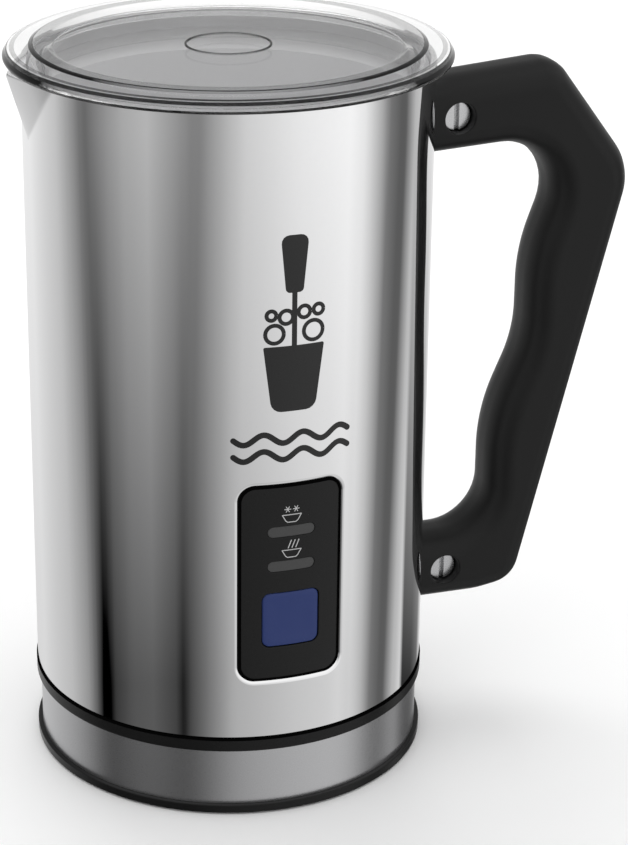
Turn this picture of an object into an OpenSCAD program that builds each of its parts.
// Milk frother: a clear-lidded steel jug with a magnetic whisk, standing on a cordless power base.
// Millimetres. The origin is the centre of the base's underside, +Z is up, the handle points to +X,
// the spout to -X and the control panel to -Y.

/* [Power base] */
// How far the rubber foot ring stands out below the base
foot_drop = 0.6; // [0.4:0.1:1]
// Diameter of the black ring at the foot of the base
base_ring_d = 104.7; // [103.5:0.1:105.5]
// Height of the black ring at the foot of the base
base_ring_h = 2.05; // [2:0.05:3]
// Diameter of the brushed band round the base
base_band_d = 102.3; // [101.5:0.1:103]
// Height of the brushed band
base_band_h = 15.5; // [14:0.1:18]

/* [Jug] */
// Outer diameter of the polished shell
body_d = 104; // [102:0.5:106]
// Thickness of the shell's sheet steel
shell_t = 0.7; // [0.5:0.1:1]
// Height of the rim above the table
rim_z = 187; // [184:0.5:190]
// Diameter of the black trim ring under the shell
trim_d = 104.6; // [104.5:0.1:106.5]
// Height of the trim ring
trim_h = 4; // [3:0.1:4.5]

/* [Spout] */
// Distance of the spout's tip from the jug's axis
spout_reach = 57.1; // [56:0.1:59]
// Height of the spout's V above the point where it leaves the wall
spout_h = 16.5; // [12:0.5:20]
// Radius of the spout's fold
spout_tip_r = 2; // [1.5:0.1:3]

/* [Vessel] */
// Inner diameter of the milk vessel
vessel_d = 93; // [90:0.5:94]
// Thickness of the vessel's wall and floor
vessel_t = 0.8; // [0.8:0.1:1]
// Height of the vessel's floor, inside, above the table
vessel_floor_z = 95.4; // [94:0.2:98]
// Height of the ledge where the mouth widens
ledge_z = 177; // [172:0.5:179]

/* [Lid] */
// Widest diameter of the lid's lip
lid_d = 114; // [112:0.5:116]
// Height of the lid's top above the rim
lid_rise = 4.5; // [4:0.1:5.5]
// Diameter of the ring moulded in the middle of the lid
lid_mark_d = 22; // [18:1:26]

/* [Handle] */
// Thickness of the handle
handle_t = 20; // [18:0.5:22]
// Distance of both cross screws from the jug's axis
screw_x = 59.3; // [59:0.1:61]
// Height of the upper cross screw
upper_screw_z = 168.5; // [167:0.5:170]
// Height of the lower cross screw
lower_screw_z = 40.9; // [40:0.1:42]

/* [Control panel] */
// Width of the panel
panel_w = 26; // [25:0.1:28]
// Height of the panel
panel_h = 53; // [52:0.1:55]
// Corner radius of the panel
panel_corner = 4; // [3:0.5:5]
// Height of the panel's centre above the table
panel_z = 65.2; // [65:0.1:67]
// Width and height of the button
button_w = 14.7; // [13:0.1:15]
// Height of the button's centre above the table
button_z = 55; // [55:0.5:56]
// Width of the light windows
window_w = 12.2; // [11:0.1:13]
// Height of the light windows
window_h = 2.8; // [2.5:0.1:3.2]

/* [Hidden] */

$fn = 96;
eps = 0.01;
fit_gap = 0.15;

body_r = body_d / 2;
base_z = foot_drop;
band_z0 = base_z + base_ring_h;
band_z1 = band_z0 + base_band_h;
band_r = base_band_d / 2;
band_t = 0.5;
wall_r = band_r - band_t - fit_gap;
wall_t = 1.6;
dock_gap = 0.2;
trim_z0 = band_z1 + dock_gap;
trim_z1 = trim_z0 + trim_h;
shell_in_r = body_r - shell_t;

// connector column and the socket that drops over it
column_r = 10.5;
column_z1 = band_z1 + 11.3;
slot_a = [3.6, 5.2];
slot_b = [6.8, 8.4];
slot_z0 = band_z1 + 2.3;
socket_r = column_r + 0.7;
socket_out_r = socket_r + 3.6;

// cord gland in the back of the base, with a square neck so that it can't turn
gland_z = 9.3;
gland_neck_w = 9;
gland_flange_r = 6.2;
gland_bore_r = 3.4;

// screw circles
base_boss_r = 30;
post_r = 34;
post_angles = [90, 210, 330];
post_z0 = 30;

// vessel
vessel_r = vessel_d / 2;
mouth_out_r = shell_in_r - 0.1;
mouth_r = mouth_out_r - vessel_t;
floor_under_z = vessel_floor_z - 1;
vessel_top_z = rim_z - shell_t - 0.1;
whisk_pin_r = 2;
hub_bore_r = whisk_pin_r + 0.06;

// drive train under the vessel
plate_t = 2;
plate_z0 = floor_under_z - 0.2 - plate_t;
element_r = 25;
element_tube_r = 3.2;
rotor_r = 14;
rotor_z0 = 86;
rotor_t = 3.5;
drive_magnet_r = 4;
drive_magnet_ring_r = 8.5;
motor_r = 12.1;
motor_z0 = 50;
motor_z1 = 80;
shaft_r = 1;
running_gap = 0.05;

// panel stack, as radii from the jug's axis and as planes of constant y
bezel_out_r = body_r - 0.5;
bezel_in_r = body_r - 2.7;
window_z_cold = 79.2;
window_z_hot = 69.8;
board_y0 = -44;
board_t = 1.6;
board_w = 30;
board_z0 = 38;
board_z1 = 90;
board_post_x = 12.5;
board_post_z = [41.5, 86.5];

// handle
handle_in_r = body_r + 0.3;
bracket_r = body_r + 1;
bracket_h = 7;
lug_t = 6;
lug_h = 10;
head_r = 3.75;
head_t = 2.6;
head_sink = 3;
recess_r = 4.45;
screw_r = 2;
nut_r = 4.04;
nut_t = 3.2;

// handle outline in x and z, with the radius of each corner: the outer edge from the top of the jug
// down to its foot, then the grip's edge back up
handle_outline = [
    [46, 176.9, 0], [88, 180.3, 8], [110.5, 150.1, 16], [81.2, 33.8, 7], [70, 31.6, 25], [46, 31.7, 0],
    [46, 49.6, 0], [73.3, 49.6, 13], [73.3, 80.9, 52], [82.9, 103.1, 37], [82.9, 126.6, 50],
    [95.4, 161, 15], [46, 158.4, 0]
];

steel = [0.86, 0.86, 0.87];
satin = [0.68, 0.68, 0.69];
black = [0.08, 0.08, 0.08];
dark = [0.16, 0.16, 0.17];
grey = [0.45, 0.45, 0.46];
blue = [0.16, 0.2, 0.5];
brass = [0.8, 0.65, 0.32];
green = [0.1, 0.35, 0.2];

// ---------- shared shapes ----------

function unit(v) = v / norm(v);

// Points of the arc of radius r that rounds the corner p between its neighbours a and b
function corner(a, p, b, r, steps) =
    let (
        u = unit(a - p),
        v = unit(b - p),
        half = acos(u * v) / 2,
        c = p + unit(u + v) * (r / sin(half)),
        s = p + u * (r / tan(half)) - c,
        e = p + v * (r / tan(half)) - c,
        a0 = atan2(s.y, s.x),
        turn = (atan2(e.y, e.x) - a0 + 540) % 360 - 180
    )
    [for (i = [0:steps]) c + r * [cos(a0 + turn * i / steps), sin(a0 + turn * i / steps)]];

function xy(p) = [p.x, p.y];

// A closed outline with its corners rounded: each entry is x, y and the corner's radius
function rounded(path, steps = 10) =
    let (n = len(path))
    [for (i = [0:n - 1])
        each path[i].z == 0
            ? [xy(path[i])]
            : corner(xy(path[(i + n - 1) % n]), xy(path[i]), xy(path[(i + 1) % n]), path[i].z, steps)];

module tube(r_out, r_in, z0, z1) {
    translate([0, 0, z0])
        difference() {
            cylinder(r = r_out, h = z1 - z0);
            translate([0, 0, -1]) cylinder(r = r_in, h = z1 - z0 + 2);
        }
}

module rod(r, z0, z1) {
    translate([0, 0, z0]) cylinder(r = r, h = z1 - z0);
}

// A rod along +Y from y0 to y1
module rod_y(r, y0, y1) {
    translate([0, y0, 0]) rotate([-90, 0, 0]) cylinder(r = r, h = y1 - y0);
}

module box(x0, x1, y0, y1, z0, z1) {
    translate([x0, y0, z0]) cube([x1 - x0, y1 - y0, z1 - z0]);
}

// A prism along Y whose outline is a w by h rectangle with corner radius r, centred at height z
module pad(w, h, r, z, y0 = -60, y1 = -30) {
    box(-w / 2 + r, w / 2 - r, y0, y1, z - h / 2, z + h / 2);
    box(-w / 2, w / 2, y0, y1, z - h / 2 + r, z + h / 2 - r);
    for (sx = [-1, 1], sz = [-1, 1])
        translate([sx * (w / 2 - r), 0, z + sz * (h / 2 - r)]) rod_y(r, y0, y1);
}

// The part of a pad that lies between two radii from the jug's axis
module curved_pad(w, h, r, z, r_in, r_out) {
    intersection() {
        tube(r_out, r_in, z - h, z + h);
        pad(w, h, r, z);
    }
}

module at_posts() {
    for (a = post_angles) rotate([0, 0, a]) translate([post_r, 0, 0]) children();
}

module at_base_bosses() {
    for (a = [30, 150, 270]) rotate([0, 0, a]) translate([base_boss_r, 0, 0]) children();
}

module at_handle_screws() {
    for (z = [upper_screw_z, lower_screw_z]) translate([screw_x, 0, z]) children();
}

// The V of the spout, drawn in by inset from the shell's outside, from root_z up to top_z
module spout_wedge(inset, root_z, top_z) {
    r = body_r - 0.05 - inset;
    hull() {
        translate([-r + 0.6, 0, root_z]) sphere(r = 0.6, $fn = 16);
        translate([spout_tip_r - spout_reach + inset, 0, top_z - 0.2]) cylinder(r = spout_tip_r, h = 0.2, $fn = 32);
        translate([0, 0, top_z - 0.2]) cylinder(r = r, h = 0.2, $fn = 96);
    }
}

// ---------- power base ----------

// Square hole for the cord gland, through the back of the base
module gland_hole(half_w) {
    box(-half_w, half_w, 40, 60, gland_z - half_w, gland_z + half_w);
}

module foot_ring() {
    color(dark) tube(45, 40, 0, foot_drop + 1);
}

module base_pan() {
    color(black) difference() {
        union() {
            rod(base_ring_d / 2, base_z, band_z0);
            tube(wall_r, wall_r - wall_t, band_z0 - eps, band_z1 - 3);
            at_base_bosses() rod(3.6, band_z0 - eps, 9);
        }
        tube(45.1, 39.9, base_z - 1, base_z + 1);
        at_base_bosses() {
            rod(1.7, 0, 10);
            rod(3.2, 0, base_z + 1.5);
        }
        gland_hole(gland_neck_w / 2 + fit_gap);
    }
}

module base_band() {
    color(satin) difference() {
        tube(band_r, band_r - band_t, band_z0 + 0.05, band_z1);
        gland_hole(gland_neck_w / 2 + fit_gap);
    }
}

module base_top_cover() {
    color(black) difference() {
        union() {
            rod(wall_r, band_z1 - 2.5, band_z1);
            tube(wall_r - wall_t - 0.2, wall_r - wall_t - 1.8, band_z1 - 5.5, band_z1 - 2);
            at_base_bosses() rod(3.6, 9.2, band_z1 - 2);
        }
        rod(socket_out_r + 0.6, 0, 30);
        at_base_bosses() rod(1.5, 9, band_z1 - 1);
        gland_hole(gland_flange_r + 0.05);
    }
}

module base_connector() {
    color(dark) difference() {
        union() {
            rod(column_r, 6, column_z1);
            rod(socket_out_r, band_z1 - 7, band_z1 - 1.4);
        }
        tube(slot_a[1], slot_a[0], slot_z0, 40);
        tube(slot_b[1], slot_b[0], slot_z0, 40);
        rod(2.25, slot_z0, 40);
    }
}

module base_contacts() {
    color(brass) {
        tube(slot_a[0] + 0.45, slot_a[0] + 0.05, slot_z0, column_z1 - 1);
        tube(slot_b[0] + 0.45, slot_b[0] + 0.05, slot_z0, column_z1 - 1);
        tube(2.2, 1.75, slot_z0, column_z1 - 1);
    }
}

module base_screws() {
    color(steel) at_base_bosses() difference() {
        union() {
            rod(1.4, base_z + 1.5, 16);
            rod(2.9, base_z + 0.2, base_z + 1.5);
        }
        box(-0.4, 0.4, -3, 3, 0, base_z + 0.8);
        box(-3, 3, -0.4, 0.4, 0, base_z + 0.8);
    }
}

module cord_gland() {
    color(dark) translate([0, 0, gland_z]) difference() {
        union() {
            box(-gland_neck_w / 2, gland_neck_w / 2, 45, 52, -gland_neck_w / 2, gland_neck_w / 2);
            rod_y(gland_flange_r, band_r + 0.15, band_r + 1.15);
            rod_y(gland_flange_r, 45, 47.4);
        }
        rod_y(gland_bore_r, 40, 60);
    }
}

// Three short leads inside the base, from the connector to the gland's inner end
module base_wires() {
    for (i = [-1, 0, 1])
        color([brass, blue, dark][i + 1]) {
            translate([i * 2.6, 0, 7.4]) rod_y(0.9, column_r + 0.2, 44);
        }
}

// ---------- jug ----------

module outer_shell() {
    spout_root = rim_z - spout_h;
    color(steel) difference() {
        union() {
            rod(body_r, trim_z1, rim_z);
            spout_wedge(0, spout_root, rim_z);
        }
        rod(shell_in_r, 0, rim_z - shell_t);
        spout_wedge(shell_t, spout_root + 2, rim_z - shell_t);
        rod(mouth_r, rim_z - 2, rim_z + 1);
        spout_wedge(shell_t + 0.9, spout_root + 4, rim_z + 1);
        pad(panel_w, panel_h, panel_corner, panel_z);
    }
}

module inner_vessel() {
    out_r = vessel_r + vessel_t;
    bend = 3.5;
    wall = rounded([
        [0, floor_under_z, 0], [out_r, floor_under_z, bend + vessel_t], [out_r, ledge_z - 0.4, 0],
        [mouth_out_r, ledge_z + 2.4, 0], [mouth_out_r, vessel_top_z, 0], [0, vessel_top_z, 0]
    ]);
    space = rounded([
        [0, vessel_floor_z, 0], [vessel_r, vessel_floor_z, bend], [vessel_r, ledge_z, 0],
        [mouth_r, ledge_z + 2.8, 0], [mouth_r, rim_z + 2, 0], [0, rim_z + 2, 0]
    ]);
    color(grey) difference() {
        union() {
            rotate_extrude() polygon(wall);
            spout_wedge(shell_t + 0.1, ledge_z + 3, vessel_top_z);
        }
        rotate_extrude() polygon(space);
        spout_wedge(shell_t + 0.9, ledge_z + 4.5, rim_z + 1);
        rod(whisk_pin_r, floor_under_z - 1, vessel_floor_z + 1);
    }
}

module whisk_pin() {
    color(steel) {
        rod(whisk_pin_r, floor_under_z, 106);
        rod(whisk_pin_r + 1.5, vessel_floor_z, vessel_floor_z + 0.6);
    }
}

module trim_ring() {
    color(black) {
        tube(trim_d / 2, 49.3, trim_z0, trim_z1 - 0.05);
        tube(shell_in_r - 0.1, 49.3, trim_z1 - 0.1, trim_z1 + 5);
    }
}

module bottom_cover() {
    color(black) difference() {
        union() {
            rod(49.2, trim_z0 + 0.1, trim_z0 + 2.4);
            at_posts() rod(4.2, trim_z0 + 2, post_z0 - 0.1);
        }
        rod(socket_out_r + 0.2, 0, 40);
        at_posts() {
            rod(1.9, 0, 40);
            rod(3.4, 0, trim_z0 + 1.7);
        }
    }
}

module bottom_screws() {
    color(steel) at_posts() difference() {
        union() {
            rod(1.5, trim_z0 + 1.7, 42);
            rod(3, trim_z0 + 0.4, trim_z0 + 1.7);
        }
        box(-0.4, 0.4, -3, 3, 0, trim_z0 + 1);
        box(-3, 3, -0.4, 0.4, 0, trim_z0 + 1);
    }
}

module jug_connector() {
    z_top = column_z1 + 4;
    color(dark) difference() {
        union() {
            rod(socket_out_r, trim_z0 + 0.3, z_top);
            rod(socket_out_r + 4, trim_z0 + 2.6, trim_z0 + 4.6);
        }
        rod(socket_r, 0, column_z1 + 1);
        rod(1.5, 0, 60);
        for (s = [-1, 1]) {
            box(s * 4.8 - 0.2, s * 4.8 + 0.2, -1.5, 1.5, 20, 60);
            box(s * 8 - 0.2, s * 8 + 0.2, -1.5, 1.5, 20, 60);
        }
    }
}

module jug_contacts() {
    z0 = slot_z0 + 1;
    z1 = column_z1 + 8;
    color(brass) {
        rod(1.4, z0, z1);
        for (s = [-1, 1]) {
            box(s * 4.8 - 0.15, s * 4.8 + 0.15, -1.4, 1.4, z0, z1);
            box(s * 8 - 0.15, s * 8 + 0.15, -1.4, 1.4, z0, z1);
        }
    }
}

module chassis_posts() {
    color(satin) at_posts() tube(3, 1.55, post_z0, plate_z0);
}

// ---------- handle ----------

module handle() {
    color(black) difference() {
        rotate([90, 0, 0])
            linear_extrude(height = handle_t, center = true) polygon(rounded(handle_outline));
        rod(handle_in_r, 0, 200);
        at_handle_screws() {
            rod_y(recess_r, -20, head_sink + head_t - handle_t / 2);
            rod_y(screw_r + 0.2, -20, 20);
            translate([0, handle_t / 2 - 5, 0]) rotate([-90, 30, 0]) cylinder(r = nut_r + 0.15, h = 10, $fn = 6);
            box(-20, 5, -lug_t / 2 - 0.3, lug_t / 2 + 0.3, -lug_h / 2 - 0.3, lug_h / 2 + 0.3);
            box(-20, bracket_r + 0.2 - screw_x, -20, 20, -bracket_h / 2 - 0.2, bracket_h / 2 + 0.2);
        }
    }
}

// A saddle brazed to the shell, with the lug that the handle's cross screw goes through
module bracket(z) {
    difference() {
        union() {
            intersection() {
                tube(bracket_r, body_r + 0.05, z - bracket_h / 2, z + bracket_h / 2);
                box(0, 60, -9, 9, z - bracket_h / 2, z + bracket_h / 2);
            }
            box(body_r + 0.3, screw_x + 4.4, -lug_t / 2, lug_t / 2, z - lug_h / 2, z + lug_h / 2);
        }
        translate([screw_x, 0, z]) rod_y(screw_r + 0.1, -10, 10);
    }
}

module upper_bracket() {
    color(satin) bracket(upper_screw_z);
}

module lower_bracket() {
    color(satin) bracket(lower_screw_z);
}

module handle_screws() {
    face = head_sink - handle_t / 2;
    color(steel) at_handle_screws() difference() {
        union() {
            rod_y(head_r, face, face + head_t);
            rod_y(screw_r, face + head_t, 9);
        }
        box(-0.6, 0.6, face - 1, face + 1.2, -5, 5);
    }
}

module handle_nuts() {
    color(satin) at_handle_screws() difference() {
        translate([0, handle_t / 2 - 4.8, 0]) rotate([-90, 30, 0]) cylinder(r = nut_r, h = nut_t, $fn = 6);
        rod_y(screw_r + 0.02, 0, 12);
    }
}

// ---------- heater ----------

module heat_plate() {
    color(satin) tube(41, 17, plate_z0, plate_z0 + plate_t);
}

// A tubular element bent round the plate, open for 70 degrees, with a cold pin at each end
module heating_element() {
    z = plate_z0 - element_tube_r;
    color(grey) {
        translate([0, 0, z]) rotate([0, 0, 65])
            rotate_extrude(angle = 290) translate([element_r, 0]) circle(r = element_tube_r, $fn = 32);
        for (a = [64, -4])
            rotate([0, 0, a]) translate([element_r, 0, 0]) rod(1.3, z - 8, z + 2);
    }
}

module thermostat() {
    color(dark) rotate([0, 0, 30]) translate([30, 0, 0]) {
        rod(7, plate_z0 - 7, plate_z0);
        for (s = [-1, 1]) box(-0.4, 0.4, s * 4 - 1.5, s * 4 + 1.5, plate_z0 - 14, plate_z0 - 6.5);
    }
}

module temperature_sensor() {
    color(steel) rotate([0, 0, 130]) translate([35, 0, 0]) {
        rod(3, plate_z0 - 5, plate_z0);
        rod(1.6, plate_z0 - 11, plate_z0 - 4.5);
    }
}

module thermal_fuse() {
    color(satin) rotate([0, 0, 180]) translate([35, 0, plate_z0 - 2.2]) {
        rod_y(2, -6, 6);
        rod_y(0.5, -11, 11);
    }
}

// ---------- drive ----------

module motor_can() {
    color(satin) difference() {
        union() {
            rod(motor_r, motor_z0, motor_z1);
            rod(3, motor_z1 - 1, motor_z1 + 2);
            for (s = [-1, 1]) box(-1.2, 1.2, s * 8 - 0.25, s * 8 + 0.25, motor_z0 - 4, motor_z0 + 1);
        }
        rod(shaft_r + running_gap, motor_z0 - 5, motor_z1 + 5);
        for (s = [-1, 1]) translate([s * 8, 0, 0]) rod(1.05, motor_z1 - 4, motor_z1 + 1);
    }
}

module motor_bracket() {
    z0 = motor_z1 + 0.05;
    color(satin) difference() {
        union() {
            rod(16, z0, z0 + 1.6);
            for (a = post_angles) rotate([0, 0, a]) box(10, post_r, -4, 4, z0, z0 + 1.6);
            at_posts() rod(5, z0 - 4, z0 + 1.6);
        }
        rod(3.1, z0 - 1, z0 + 3);
        at_posts() rod(3.05, z0 - 5, z0 + 3);
        for (s = [-1, 1]) translate([s * 8, 0, 0]) rod(1.2, z0 - 1, z0 + 3);
    }
}

module motor_screws() {
    z0 = motor_z1 + 1.65;
    color(steel) for (s = [-1, 1]) translate([s * 8, 0, 0]) difference() {
        union() {
            rod(1, motor_z1 - 3, z0);
            rod(2, z0, z0 + 1.2);
        }
        box(-0.3, 0.3, -3, 3, z0 + 0.6, z0 + 3);
    }
}

module motor_shaft() {
    color(steel) rod(shaft_r, motor_z0 + 0.5, rotor_z0 + rotor_t);
}

module drive_rotor() {
    color(dark) difference() {
        union() {
            rod(rotor_r, rotor_z0, rotor_z0 + rotor_t);
            rod(3.2, rotor_z0 - 2.5, rotor_z0 + 1);
        }
        rod(shaft_r, rotor_z0 - 3, rotor_z0 + 5);
        for (s = [-1, 1])
            translate([s * drive_magnet_ring_r, 0, 0]) rod(drive_magnet_r, rotor_z0 + 1.2, rotor_z0 + 5);
    }
}

module drive_magnets() {
    color(steel) for (s = [-1, 1])
        translate([s * drive_magnet_ring_r, 0, 0]) rod(drive_magnet_r, rotor_z0 + 1.2, rotor_z0 + 6.8);
}

// ---------- control panel ----------

module panel_bezel() {
    color(black) difference() {
        union() {
            curved_pad(panel_w - 2 * fit_gap, panel_h - 2 * fit_gap, panel_corner - fit_gap, panel_z, bezel_in_r, bezel_out_r);
            curved_pad(panel_w + 3, panel_h + 3, panel_corner + 1, panel_z, bezel_in_r, shell_in_r - 0.1);
            for (x = [-board_post_x, board_post_x], z = board_post_z)
                translate([x, 0, z]) rod_y(2.2, -48.8, board_y0);
        }
        pad(button_w + 0.5, button_w + 0.5, 2.2, button_z);
        for (z = [window_z_cold, window_z_hot])
            pad(window_w + 0.2, window_h + 0.2, (window_h + 0.2) / 2 - eps, z);
        for (x = [-board_post_x, board_post_x], z = board_post_z)
            translate([x, 0, z]) rod_y(1, -48, -40);
    }
}

module light_window(z) {
    curved_pad(window_w, window_h, window_h / 2 - eps, z, bezel_in_r - 0.8, bezel_out_r - 0.15);
    curved_pad(window_w + 2.4, window_h + 2.4, 1.5, z, bezel_in_r - 0.8, bezel_in_r - 0.1);
}

module cold_window() {
    color(grey) light_window(window_z_cold);
}

module hot_window() {
    color(grey) light_window(window_z_hot);
}

module control_board() {
    color(green) difference() {
        box(-board_w / 2, board_w / 2, board_y0, board_y0 + board_t, board_z0, board_z1);
        for (x = [-board_post_x, board_post_x], z = board_post_z)
            translate([x, 0, z]) rod_y(1.2, -50, -40);
    }
}

module board_screws() {
    y0 = board_y0 + board_t;
    color(steel) for (x = [-board_post_x, board_post_x], z = board_post_z)
        translate([x, 0, z]) difference() {
            union() {
                rod_y(0.95, -47.5, y0);
                rod_y(1.9, y0, y0 + 1.2);
            }
            box(-0.3, 0.3, y0 + 0.6, y0 + 3, -3, 3);
        }
}

module indicator_leds() {
    color(steel) for (z = [window_z_cold, window_z_hot]) translate([0, 0, z]) {
        rod_y(2.4, board_y0 - 1, board_y0);
        rod_y(1.9, -46.2, board_y0 - 1);
        translate([0, -46.2, 0]) sphere(r = 1.9, $fn = 48);
    }
}

module switch_body() {
    color(dark) difference() {
        box(-3, 3, board_y0 - 2.4, board_y0, button_z - 3, button_z + 3);
        translate([0, 0, button_z]) rod_y(1.95, board_y0 - 3, board_y0 - 0.3);
    }
}

module relay() {
    color(blue) box(-12, 7, board_y0 + board_t, board_y0 + board_t + 15, 44, 59);
}

module capacitors() {
    y0 = board_y0 + board_t;
    color(dark) {
        translate([-8, 0, 70]) rod_y(5, y0, y0 + 14);
        translate([5, 0, 69]) rod_y(4, y0, y0 + 12);
        box(-2, 10, y0, y0 + 7, 76, 83);
    }
}

module button_cap() {
    color(blue) {
        curved_pad(button_w, button_w, 2, button_z, 48.7, bezel_out_r - 0.05);
        curved_pad(button_w + 2.5, button_w + 2.5, 2.5, button_z, 47.8, 48.8);
    }
}

module switch_plunger() {
    color(dark) translate([0, 0, button_z]) rod_y(1.75, -47.75, -45.6);
}

// ---------- whisk ----------

module whisk_hub() {
    color(dark) difference() {
        union() {
            rod(13.8, vessel_floor_z + 1.2, vessel_floor_z + 5.2);
            translate([0, 0, vessel_floor_z + 5.1]) cylinder(r1 = 7, r2 = 4, h = 5);
            rod(4, vessel_floor_z + 10, 114);
            rod(5.2, 111.5, 114);
        }
        rod(hub_bore_r, 90, 107);
        rod(4, 90, vessel_floor_z + 1.5);
        for (s = [-1, 1]) translate([s * 8, 0, 0]) rod(3, 90, vessel_floor_z + 4.2);
        translate([0, 0, vessel_floor_z + 3.4])
            rotate_extrude() translate([15.4, 0]) circle(r = 2.65, $fn = 32);
    }
}

// The spring ring that whips the milk, as the torus that its turns fill
module whisk_coil() {
    color(steel) translate([0, 0, vessel_floor_z + 3.4])
        rotate_extrude() translate([15.4, 0]) circle(r = 2.6, $fn = 32);
}

module whisk_magnets() {
    color(satin) for (s = [-1, 1])
        translate([s * 8, 0, 0]) rod(3, vessel_floor_z + 1.3, vessel_floor_z + 4.2);
}

// ---------- lid ----------

module lid() {
    top = rim_z + lid_rise;
    seat = rim_z + 0.2;
    plate = top - 1.5;
    spigot_r = 49;
    profile = [
        [0, plate], [42.6, plate], [44.2, plate + 0.15], [47.6, top - 0.25], [49, top],
        [lid_d / 2 - 1.7, top], [lid_d / 2 - 1.1, top - 0.4], [lid_d / 2, seat + 1], [lid_d / 2, seat + 0.5],
        [lid_d / 2 - 0.6, seat], [spigot_r, seat], [spigot_r, seat - 1.6], [spigot_r - 1.1, seat - 1.6],
        [spigot_r - 1.1, seat - 4.6], [spigot_r, seat - 4.6], [spigot_r, seat - 7], [spigot_r - 0.4, seat - 7.4],
        [spigot_r - 2, seat - 7.4], [spigot_r - 2.3, seat - 7], [spigot_r - 2.3, seat + 0.2],
        [44.8, plate - 1.6], [0, plate - 1.6]
    ];
    color([0.8, 0.85, 0.88, 0.35]) {
        rotate_extrude() polygon(profile);
        tube(lid_mark_d / 2 + 0.3, lid_mark_d / 2 - 0.3, plate - eps, plate + 0.25);
    }
}

module lid_gasket() {
    seat = rim_z + 0.2;
    profile = [
        [47.95, seat - 4.55], [48.9, seat - 4.55], [50, seat - 4], [50, seat - 3.5], [49, seat - 3.2],
        [49, seat - 2.9], [50, seat - 2.6], [50, seat - 2.1], [48.9, seat - 1.65], [47.95, seat - 1.65]
    ];
    color(grey) rotate_extrude() polygon(profile);
}

foot_ring();
base_pan();
base_band();
base_top_cover();
base_connector();
base_contacts();
base_screws();
cord_gland();
base_wires();
outer_shell();
inner_vessel();
whisk_pin();
trim_ring();
bottom_cover();
bottom_screws();
jug_connector();
jug_contacts();
chassis_posts();
handle();
upper_bracket();
lower_bracket();
handle_screws();
handle_nuts();
heat_plate();
heating_element();
thermostat();
temperature_sensor();
thermal_fuse();
motor_can();
motor_bracket();
motor_screws();
motor_shaft();
drive_rotor();
drive_magnets();
panel_bezel();
cold_window();
hot_window();
control_board();
board_screws();
indicator_leds();
switch_body();
relay();
capacitors();
button_cap();
switch_plunger();
whisk_hub();
whisk_coil();
whisk_magnets();
lid();
lid_gasket();
